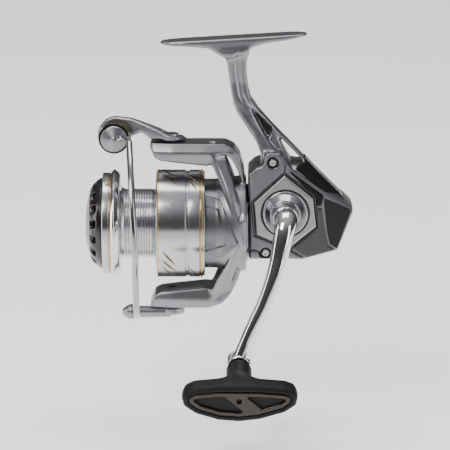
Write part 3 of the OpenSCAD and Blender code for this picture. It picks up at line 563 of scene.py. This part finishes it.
def make_collar():
    """The polished collar around the crank's hub."""
    outline = [(5.4, 17), (11.3, 17.6), (11.3, 18.5), (10.7, 19.0), (10.2, 18.6), (7.9, 22.0), (7.4, 22.8),
               (5.4, 22.8)]
    obj = lathe("side_collar_ring", outline, "y", (0, 0, CRANK_Z), soft=0.35)
    finish_piece(obj, COLLAR, "frame", "side_collar", "chrome")


# ---------------------------------------------------------------- crank and grip

def make_crank():
    """Turned hub, bent arm and the eye for the knob's pin."""
    hub = [(0.01, 10), (3.5, 10), (3.5, 19.5), (6.4, 20.4), (7.1, 23.6), (7.1, 26.2), (6.7, 27.2),
           (6.2, 31.4), (0.01, 31.4)]
    obj = lathe("crank_hub_turned", hub, "y", (0, 0, CRANK_Z), soft=0.5)
    finish_piece(obj, CHROME, "crank", "crank_hub", "chrome")
    keys = [(0, -31, CRANK_Z), (0, -36.5, CRANK_Z), (-1, -41.2, 4.6), (-3.65, -44.5, -8), (-6.6, -47, -18.4),
            (-10.65, -49, -29.2), (-15.25, -50.5, -39), (-19.2, -51.4, -48.2), (-22.2, -52, -56.8)]
    path = curve_points(keys, 10)
    wide = np.interp(np.arange(len(path)) / 10, [0, 1, 2, 3, 5, 7, 8], [6.0, 5.8, 5.0, 4.2, 3.7, 3.8, 4.4])
    deep = np.interp(np.arange(len(path)) / 10, [0, 1, 2, 3, 5, 7, 8], [5.9, 5.6, 4.4, 3.9, 3.7, 3.9, 4.4])
    arm = sweep("crank_arm_bar", path, list(zip(wide, deep)), around=28)
    eye = [(2.7, -4.4), (6.0, -4.4), (6.3, -3.4), (6.3, 2.6), (5.9, 3.5), (2.7, 3.5)]
    ring = lathe("crank_eye", eye, "y", CRANK_END, KNOB_TILT, soft=0.4)
    finish_piece(arm, CHROME, "crank", "crank_arm", "chrome")
    finish_piece(ring, CHROME, "crank", None, "chrome")


def grip_frame(f):
    """Coordinates along the grip's cross bar, across it and out along the knob's axis."""
    px, py, pz = f.x - CRANK_END[0], f.y - CRANK_END[1], f.z - CRANK_END[2]
    c, s = math.cos(KNOB_TILT), math.sin(KNOB_TILT)
    return px, -py * s + pz * c, -py * c - pz * s


GRIP_OUTLINE = [(-27.6, 1.5), (-26.2, 4.6), (-22, 6.8), (-10, 8.0), (10, 7.8), (22, 6.8), (26.8, 5.0),
                (28.2, 1.8), (27.4, -2.6), (22, -6.6), (10, -10.4), (0, -11.6), (-10, -10.8), (-21, -7.2),
                (-26.6, -3)]


def make_grip():
    """Rubber cross bar on a waisted shank, with its inlay."""
    f = Field((-53, -93, -82), (7, -54, -52), 0.5)
    u, v, h = grip_frame(f)
    outline = polygon_field(u, v, GRIP_OUTLINE)
    waist = np.clip((33 - h) / 9, 0, 1) ** 2
    bar = meet(outline + 2.2 * waist, np.abs(h - 31.4) - 6.9, 3.2)
    shank = np.sqrt(u * u + v * v) - np.interp(h, [4, 6, 10, 18, 26], [5.6, 6.3, 6.2, 6.4, 8.5])
    shank = np.maximum(shank, np.maximum(5.7 - h, h - 32))
    solid = join(bar, shank, 4.5)
    recess = np.maximum(polygon_field(u, v, GRIP_OUTLINE) + 3.0, 36.7 - h)
    solid = cut(solid, recess, 0.4)
    solid = cut(solid, np.maximum(np.sqrt(u * u + v * v) - 2.7, h - 20), 0.3)
    finish_piece(f.mesh("knob_grip_rubber", solid), RUBBER, "knob", "knob_grip", "rubber")
    # the inlay: a rim with a slanting bar across two dark openings
    g = Field((-50, -93, -78), (4, -83, -52), 0.3)
    u, v, h = grip_frame(g)
    rim = np.abs(polygon_field(u, v, GRIP_OUTLINE) + 4.4) - 1.15
    inner = polygon_field(u, v, GRIP_OUTLINE) + 3.6
    bar = np.maximum(line_field(u, v, [(-9, 9), (13, -11)]) - 3.6, inner)
    notch = np.hypot(u + 14, v - 8.4) - 3.0
    hole = np.hypot(u, v) - 1.2
    flat = np.maximum(np.minimum(rim, bar), np.maximum(-notch, -hole))
    d = meet(flat, np.abs(h - 37.3) - 0.75, 0.4)
    finish_piece(g.mesh("knob_inlay_frame", d, smooth=1), BRONZE, "knob", "knob_inlay", "bronze")


# ---------------------------------------------------------------- rotor

ARM_OUTLINE = [
    (-67.2, 40.4), (-66.4, 41.9), (-29.5, 41.9), (-25.2, 39.6), (-22.2, 35.3), (-20.4, 29.2),
    (-19.1, 17), (-19.1, 3), (-20.2, 3), (-20.6, 12), (-21.2, 21), (-23.4, 28.6), (-26.4, 34.2),
    (-29.6, 37.4), (-33, 36.6), (-34.6, 32.0), (-39, 30.9), (-61.9, 33.4), (-64.6, 34.8)]
LOWER_ARM_OUTLINE = [
    (-67.2, 40.4), (-66.4, 41.9), (-38, 41.9), (-31.4, 39.2), (-26.6, 34), (-23, 26.4), (-20.6, 17.6),
    (-19.1, 9), (-19.1, 3), (-20.2, 3), (-21.4, 10), (-23.6, 18), (-26.6, 25.8), (-30.4, 31.4),
    (-34.6, 31.6), (-39, 30.9), (-61.9, 33.4), (-64.6, 34.8)]
STRAP = [(-42, 38.4), (-35.6, 30.6), (-32.6, 24), (-28.2, 14.6), (-24.8, 5), (-22.2, -5.2), (-21, -9.6),
         (-19.1, -9.6), (-19.1, 6), (-21.2, 10), (-23.4, 16), (-25.6, 24), (-28.4, 31.6), (-29.8, 38.4)]
STRAP_RIDGE = [(-37, 37.5), (-32.4, 31), (-29.4, 24), (-26, 14.6), (-22.9, 5), (-20.7, -6)]


def make_rotor():
    """The rotor's cup, its two arms with their straps, and the web with the pinion's hub."""
    f = Field((-69, -27, -44), (-17.5, 27, 44), 0.45)
    radius = np.sqrt(f.y ** 2 + f.z ** 2)
    up = np.abs(f.z)
    wall = np.interp(f.x, [-57, -34, -31, -24, -19], [22.3, 22.3, 23.4, 23.8, 23.8])
    bore = np.where(f.x > CUP_SPLIT, CUP_BORE_BACK, CUP_BORE_FRONT)
    cup = np.maximum(radius - wall, -(radius - bore))
    cup = np.maximum(cup, np.abs(f.x + 38.05) - 18.95)
    side = np.where(f.z < 0, polygon_field(f.x, up, LOWER_ARM_OUTLINE), polygon_field(f.x, up, ARM_OUTLINE))
    # each arm is a channel: its sides lean in towards the outside, along a ridge
    half = np.interp(f.x, [-68, -64, -56, -40, -28, -19], [8.0, 9.4, 10.6, 11, 10.6, 9.0])
    lean = np.clip(up - 38.2, 0, 9) * 0.75 + np.clip(36.4 - up, 0, 9) * 0.25 * np.where(f.x < -32, 1, 0)
    arm = meet(side, np.abs(f.y) - half + lean, 0.5)
    solid = join(cup, arm, 0.8)
    outer = np.interp(up, [0, 5, 10, 15, 20, 25, 30, 34, 40],
                      [24.2, 23.8, 22.8, 21.0, 18.8, 16.2, 13.6, 11.8, 10.8])
    for sign in (-1, 1):
        z = f.z * sign
        reach = np.where(z < 0, 24.4, outer)
        flat = polygon_field(f.x, z, STRAP)
        ridge = np.clip(line_field(f.x, z, STRAP_RIDGE), 0, 5) * 0.55
        strap = meet(flat, np.maximum(np.abs(f.y) - reach + ridge, reach - 4.2 - np.abs(f.y)), 0.25)
        solid = join(solid, strap, 0.3)
    solid = np.maximum(solid, -(radius - bore))
    solid = np.maximum(solid, f.x + 19.1)
    # the pivot holes, and a blind hole on top of the upper arm
    solid = cut(solid, np.maximum(np.hypot(f.x - BAIL_X, f.y) - PIVOT_R, 30 - up), 0.3)
    solid = cut(solid, np.maximum(np.hypot(f.x + 36, f.y + 3.5) - 2.2, 40.6 - f.z), 0.3)
    # front web with the pinion's hub
    web = np.maximum(np.abs(f.x + 44) - 1.5, radius - 21)
    hub = np.maximum(radius - 8.6, np.abs(f.x + 39.9) - 5.5)
    web = np.maximum(join(web, hub, 2.0), 4.1 - radius)
    solid = np.minimum(solid, web)
    finish_piece(f.mesh("rotor_casting", solid), SILVER, "rotor", "rotor", "silver_casting")


def make_rotor_plate():
    """A raised frame with a plain sunken plate, on the crank side of the rotor's cup."""
    f = Field((-42, -29, -19), (-21, -14, 19), 0.3)
    radius = np.sqrt(f.y ** 2 + f.z ** 2)
    outline = [(-40.4, 17.5), (-31.8, 15.7), (-26.8, 4), (-23.4, -5.6), (-30, -11.5), (-40.4, -16.8)]
    inner = [(-40.4, 13.2), (-33.2, 11.4), (-31.2, 4), (-29.1, -5.4), (-34, -7.6), (-40.4, -9.6)]
    wall = np.interp(f.x, [-40, -34, -31, -24, -19], [22.3, 22.3, 23.6, 24.4, 24.4])
    d = np.maximum(polygon_field(f.x, f.z, outline), np.abs(radius - wall - 0.3) - 0.9)
    d = cut(d, np.maximum(polygon_field(f.x, f.z, inner), wall + 0.6 - radius), 0.3)
    d = np.maximum(d, f.y)
    finish_piece(f.mesh("rotor_plate_frame", d, smooth=1), SILVER_DARK, "rotor", "rotor_plate",
                 "silver_casting")


# ---------------------------------------------------------------- bail

def make_bail():
    """Lever, roller cap, wire and the holder of the wire's lower end."""
    f = Field((-94, -8, 40), (-48, 8, 55), 0.35)
    outline = [(-91.2, 48.4), (-88.7, 52.0), (-84.6, 53.8), (-76, 53.1), (-67.2, 50.4), (-56.5, 46.6),
               (-48.2, 43.4), (-48.6, 42.5), (-66.6, 42.5), (-71.2, 46.0), (-75.4, 44.2), (-80, 46),
               (-88, 45)]
    along = np.clip((f.x + 84) / 26, 0, 1)
    middle = 3.4 * (1 - along) - 0.4 * along
    half = np.interp(f.x, [-92, -84, -74, -64, -56, -50, -47], [1.8, 2.0, 2.8, 4.8, 6.0, 4.6, 1.8])
    crest = np.abs(f.y - middle) * 0.30 * along
    bar = meet(polygon_field(f.x, f.z, outline) + crest, np.abs(f.y - middle) - half, 0.9)
    disc = meet(np.hypot(f.x - ROLLER[0], f.z - ROLLER[1]) - 8.4, np.abs(f.y - 3.6) - 1.6, 0.8)
    foot = meet(np.hypot(f.x - BAIL_X, f.y) - 6.1, np.abs(f.z - 43.6) - 1.0, 0.8)
    solid = join(join(bar, disc, 1.8), foot, 1.4)
    solid = cut(solid, np.hypot(f.x - BAIL_X, f.y) - PIVOT_R, 0.3)
    dimple = np.maximum(np.hypot((f.x - BAIL_X) * 0.85, f.y) - 3.9, 44.6 - f.z)
    solid = cut(solid, dimple, 0.4)
    finish_piece(f.mesh("bail_lever_casting", solid), SILVER, "bail", "bail_lever", "silver_casting")
    # a thin black disc behind the cap: painted shade, the lever's shaded face showing as a dark crescent
    # round the cap
    ring = [(0.01, 4.9), (7.6, 4.9), (7.6, 5.3), (0.01, 5.3)]
    obj = lathe("roller_cap_painted_shade", ring, "y", (ROLLER[0], 0, ROLLER[1]), steps=64, soft=0.1)
    finish_piece(obj, GLOSS, "bail", None, "black_gloss")
    cap = [(0.01, 5.2), (6.2, 5.2), (6.6, 5.6), (6.6, 6.5), (6.2, 7.0), (1.2, 8.7), (0.9, 9.2), (0.01, 9.3)]
    obj = lathe("roller_cap_cone", cap, "y", (ROLLER[0], 0, ROLLER[1]), soft=0.5)
    finish_piece(obj, SILVER, "bail", "roller_cap", "silver_casting")
    keys = [(-82.6, -8.4, 44.8), (-80, -9.8, 45.6), (-77.2, -14.5, 44.6)]
    for degrees in range(24, 169, 12):
        a = math.radians(degrees)
        x = -76.9 + 3.4 * min(1.0, (degrees - 20) / 75)
        keys.append((x, -SWEEP_R * math.sin(a), SWEEP_R * math.cos(a)))
    keys += [(-73.9, -6.4, -45.3), (-74.8, -3.2, -45.2)]
    path = curve_points(keys, 8)
    wire = sweep("bail_wire_rod", path, [(WIRE_R, WIRE_R)] * len(path), around=18)
    finish_piece(wire, WIRE, "bail", "bail_wire", "chrome")
    end = [(0.01, -81.4), (1.5, -81.1), (3.4, -78.4), (3.9, -76.8), (3.6, -75.6), (2.9, -74.6), (2.7, -60),
           (2.6, -57), (0.01, -57)]
    bar = lathe("bail_holder_bar", end, "x", (0, -2.6, -45), soft=0.4)
    collar = [(PIVOT_R, -46), (5.6, -46), (6.2, -45.4), (6.2, -43.2), (5.8, -42.6), (PIVOT_R, -42.6)]
    foot = lathe("bail_holder_foot", collar, "z", (BAIL_X, 0, 0), soft=0.3)
    finish_piece(bar, SILVER, "bail", "bail_holder", "silver_casting")
    finish_piece(foot, SILVER, "bail", None, "silver_casting")


# ---------------------------------------------------------------- spool

def make_spool():
    """Turned spool with its lip, rings and slots."""
    ridges = []
    grooves = 11
    for i in range(grooves):
        x0 = -80.0 + i * 1.3
        ridges += [(17.35, x0 + 0.15), (17.35, x0 + 0.85), (16.95, x0 + 1.0), (16.95, x0 + 1.15)]
    outline = [(4.4, -83), (7, -83), (7, -79), (14.6, -79), (14.6, -90.0), (15.2, -90.6), (25.0, -90.6),
               (25.3, -90.2), (25.3, -87.5), (24.8, -87.0), (24.8, -81.9), (20.2, -81.8), (18.2, -81.2)]
    outline += ridges
    outline += [(18.0, -65.0), (19.6, -64.4), (26.2, -63.9), (26.8, -63.3), (26.8, -49.4), (26.3, -49.1),
                (26.3, -47.7), (26.8, -47.4), (26.8, -42.3), (26.2, -42.1), (26.2, -40.0), (25.9, -39.75),
                (24.8, -39.75), (24.8, -62), (14.4, -62), (14.4, -76.6), (7, -76.6), (7, -59), (4.4, -59)]
    obj = lathe("spool_body", outline, "x", steps=144, soft=0.12)
    finish_piece(obj, SPOOL, "spool", "spool", "spool_aluminium")
    lip = [(24.7, -86.4), (26.0, -86.3), (26.9, -85.2), (27.1, -84.75), (26.8, -84.3), (25.4, -82.6),
           (24.7, -82.1)]
    obj = lathe("spool_lip_ring", lip, steps=144, soft=0.25)
    finish_piece(obj, CHROME, "spool", "spool_lip", "chrome")
    rings = [[(24.9, -87.3), (25.35, -87.2), (25.35, -86.7), (24.9, -86.5)],
             [(26.6, -63.5), (27.05, -63.3), (27.05, -62.7), (26.6, -62.5)],
             [(26.2, -42.0), (27.0, -41.8), (27.0, -40.9), (26.2, -40.7)]]
    for i, ring in enumerate(rings):
        obj = lathe("spool_ring_%d" % (i + 1), ring, "x", steps=144, soft=0.1)
        finish_piece(obj, GOLD, "spool", None if i else "spool_rings", "gold")
    make_slashes()


def slash(name, angle, x0, x1, slant, r, wide, mat, slot):
    """A pointed, slanting strip that hugs the skirt, turning by slant degrees from x0 to x1."""
    verts = []
    faces = []
    steps = 12
    for i in range(steps + 1):
        t = i / steps
        x = x0 + (x1 - x0) * t
        a = math.radians(angle + slant * t)
        pinch = wide * (0.04 + 0.96 * math.sin(math.pi * t) ** 0.7)
        for da, dr in ((-1, 0), (-0.8, 1), (0.8, 1), (1, 0)):
            w = a + da * pinch / r
            rr = r + 0.12 * dr
            verts.append((x, -rr * math.sin(w), rr * math.cos(w)))
    for i in range(steps):
        for k in range(4):
            n = (k + 1) % 4
            faces.append((i * 4 + k, i * 4 + n, (i + 1) * 4 + n, (i + 1) * 4 + k))
    faces.append((3, 2, 1, 0))
    faces.append(tuple(steps * 4 + k for k in range(4)))
    obj = new_mesh(name, verts, faces, smooth=False)
    finish_piece(obj, mat, "spool", None, slot)


# front and rear band: its two ends, a slot's half width, its slant, its start and how many
SLOT_BANDS = ((-61.2, -53.8, 1.25, 20, -12, 3), (-48.6, -42.9, 0.95, 16, 12, 2))
SLOT_GROUPS = 3


def make_slashes():
    """Gold-edged slanting slots in two bands, in groups around the skirt, drawn as strips with the slots'
    insides as painted shade.
    """
    for g in range(SLOT_GROUPS):
        for band, (x0, x1, wide, slant, start, count) in enumerate(SLOT_BANDS):
            for i in range(count):
                angle = 360 / SLOT_GROUPS * g + start + 12 * i
                tag = "%d%d%d" % (g, band, i)
                slash("slot_edge_" + tag, angle, x0, x1, slant, 26.74, wide, GOLD, "gold")
                # a narrower black strip on each gold edge: painted shade for the slot's inside
                slash("slot_painted_shade_" + tag, angle + 0.5, x0 + 0.6, x1 - 0.5, slant * 0.93, 26.82, wide * 0.62,
                      SHADE_BLACK, "black_gloss")


def make_drag_knob():
    """A hollow dome with a ring of windows, and a bright liner behind them."""
    f = Field((-100.2, -23.6, -23.6), (-90, 23.6, 23.6), 0.3)
    radius = np.sqrt(f.y ** 2 + f.z ** 2)
    dome = np.interp(radius, [0, 6, 12, 17, 19.6, 21.6, 22.9],
                     [-99.4, -99.2, -98.5, -97.0, -95.6, -93.4, -91.2])
    d = np.maximum(dome - f.x, f.x + 90.9) * 0.8
    d = np.maximum(d, radius - 22.8)
    turn = np.arctan2(-f.y, f.z)
    petal = (turn * DRAG_WINDOWS / (2 * math.pi)) % 1.0 - 0.5
    across = petal * 2 * math.pi / DRAG_WINDOWS * radius
    window = meet(np.abs(across) - 1.9, np.abs(radius - 19.2) - 1.7, 1.2)
    window = np.maximum(window, f.x + 92.2)
    d = cut(d, window, 0.3)
    hollow = np.maximum(radius - 20.4, np.maximum(dome + 2.4 - f.x, 8.0 - radius))
    d = cut(d, hollow, 0.4)
    d = cut(d, np.maximum(np.abs(radius - 11.5) - 0.4, f.x - dome - 0.5), 0.2)
    # room for the drag nut and its travel
    d = cut(d, np.maximum(radius - 5.6, -96.4 - f.x), 0.1)
    finish_piece(f.mesh("drag_knob_dome", d, smooth=1), DRAG, "drag_knob", "drag_knob", "black_gloss")
    liner = [(15.6, -94.6), (20.3, -92.4), (20.3, -91.6), (15.6, -93.4)]
    obj = lathe("drag_knob_liner", liner, soft=0.1)
    finish_piece(obj, SPOOL, "drag_knob", None, "spool_aluminium")


# ---------------------------------------------------------------- stage

def make_stage():
    """A pale floor that glows softly behind the reel, and a grey studio around it."""
    scene = bpy.context.scene
    reach = 3
    low = CAD_BOX[0][2] - 0.02
    verts = [(-reach, -reach, low), (reach, -reach, low), (reach, reach, low), (-reach, reach, low)]
    mesh = bpy.data.meshes.new("floor")
    mesh.from_pydata(verts, [], [(0, 1, 2, 3)])
    floor = bpy.data.objects.new("floor", mesh)
    scene.collection.objects.link(floor)
    mat = shader("floor_white", (0.92, 0.92, 0.92), 0.0, 0.9, grain=0.01, bump=0.0)
    nodes = mat.node_tree.nodes
    links = mat.node_tree.links
    surface = nodes["Principled BSDF"]
    surface.inputs["Emission Color"].default_value = (1, 1, 1, 1)
    # the backdrop behind the reel glows softly, and the floor in front of it stays dim
    parts = nodes.new("ShaderNodeSeparateXYZ")
    links.new(nodes["Texture Coordinate"].outputs["Object"], parts.inputs["Vector"])
    glow = nodes.new("ShaderNodeMapRange")
    glow.inputs["From Min"].default_value = -0.34
    glow.inputs["From Max"].default_value = -0.12
    glow.inputs["To Max"].default_value = 0.85
    links.new(parts.outputs["Y"], glow.inputs["Value"])
    links.new(glow.outputs["Result"], surface.inputs["Emission Strength"])
    paint(floor, mat)
    world = bpy.data.worlds.new("studio")
    scene.world = world
    world.use_nodes = True
    nodes = world.node_tree.nodes
    links = world.node_tree.links
    place = nodes.new("ShaderNodeTexCoord")
    split = nodes.new("ShaderNodeSeparateXYZ")
    links.new(place.outputs["Generated"], split.inputs["Vector"])
    sky = nodes.new("ShaderNodeValToRGB")
    stops = [(0.0, 0.30), (0.42, 0.10), (0.56, 0.05), (0.72, 0.12), (1.0, 0.55)]
    while len(sky.color_ramp.elements) < len(stops):
        sky.color_ramp.elements.new(0.5)
    for element, (at, grey) in zip(sky.color_ramp.elements, stops):
        element.position = at
        element.color = (grey, grey, grey * 1.03, 1)
    shift = nodes.new("ShaderNodeMapRange")
    shift.inputs["From Min"].default_value = -1.0
    shift.inputs["From Max"].default_value = 1.0
    links.new(split.outputs["Z"], shift.inputs["Value"])
    links.new(shift.outputs["Result"], sky.inputs["Fac"])
    links.new(sky.outputs["Color"], nodes["Background"].inputs["Color"])
    nodes["Background"].inputs["Strength"].default_value = 1.0


def add_light(name, at, size, power, target):
    """A rectangular area light in watts, aimed at a point."""
    data = bpy.data.lights.new(name, "AREA")
    data.shape = "RECTANGLE"
    data.size = size[0]
    data.size_y = size[1]
    data.energy = power
    obj = bpy.data.objects.new(name, data)
    bpy.context.scene.collection.objects.link(obj)
    obj.location = at
    obj.rotation_euler = (Vector(target) - Vector(at)).to_track_quat("-Z", "Y").to_euler()


def make_camera():
    """A long lens, at the height that shows a little of the foot's top. Returns what it looks at."""
    elevation = math.radians(13)
    distance = 1.6
    data = bpy.data.cameras.new("camera")
    cam = bpy.data.objects.new("camera", data)
    bpy.context.scene.collection.objects.link(cam)
    view_width = 0.225
    sensor = 36
    data.sensor_width = sensor
    data.lens = sensor * distance / view_width
    data.clip_end = 20
    # the frame's middle: half way along the reel, just below the spool axis
    middle = SHAFT + Vector((-29.75, 0, -1.03)) * MM
    back = Vector((0, -math.cos(elevation), math.sin(elevation)))
    cam.location = middle + back * distance
    cam.rotation_euler = (-back).to_track_quat("-Z", "Y").to_euler()
    bpy.context.scene.camera = cam
    return middle


def make_lights(middle):
    add_light("key", middle + Vector((-0.55, -0.75, 0.95)), (0.55, 0.55), 9, middle)
    add_light("fill", middle + Vector((0.95, -0.7, 0.25)), (0.35, 0.9), 3.5, middle)
    add_light("left_strip", middle + Vector((-1.1, -0.1, 0.2)), (0.25, 0.9), 3.0, middle)
    add_light("top", middle + Vector((0.0, 0.25, 1.2)), (0.9, 0.6), 7, middle)


paint_frame()
make_housing()
make_covers()
make_guard()
make_collar()
make_crank()
make_grip()
make_rotor()
make_rotor_plate()
make_bail()
make_spool()
make_drag_knob()
make_stage()
make_lights(make_camera())
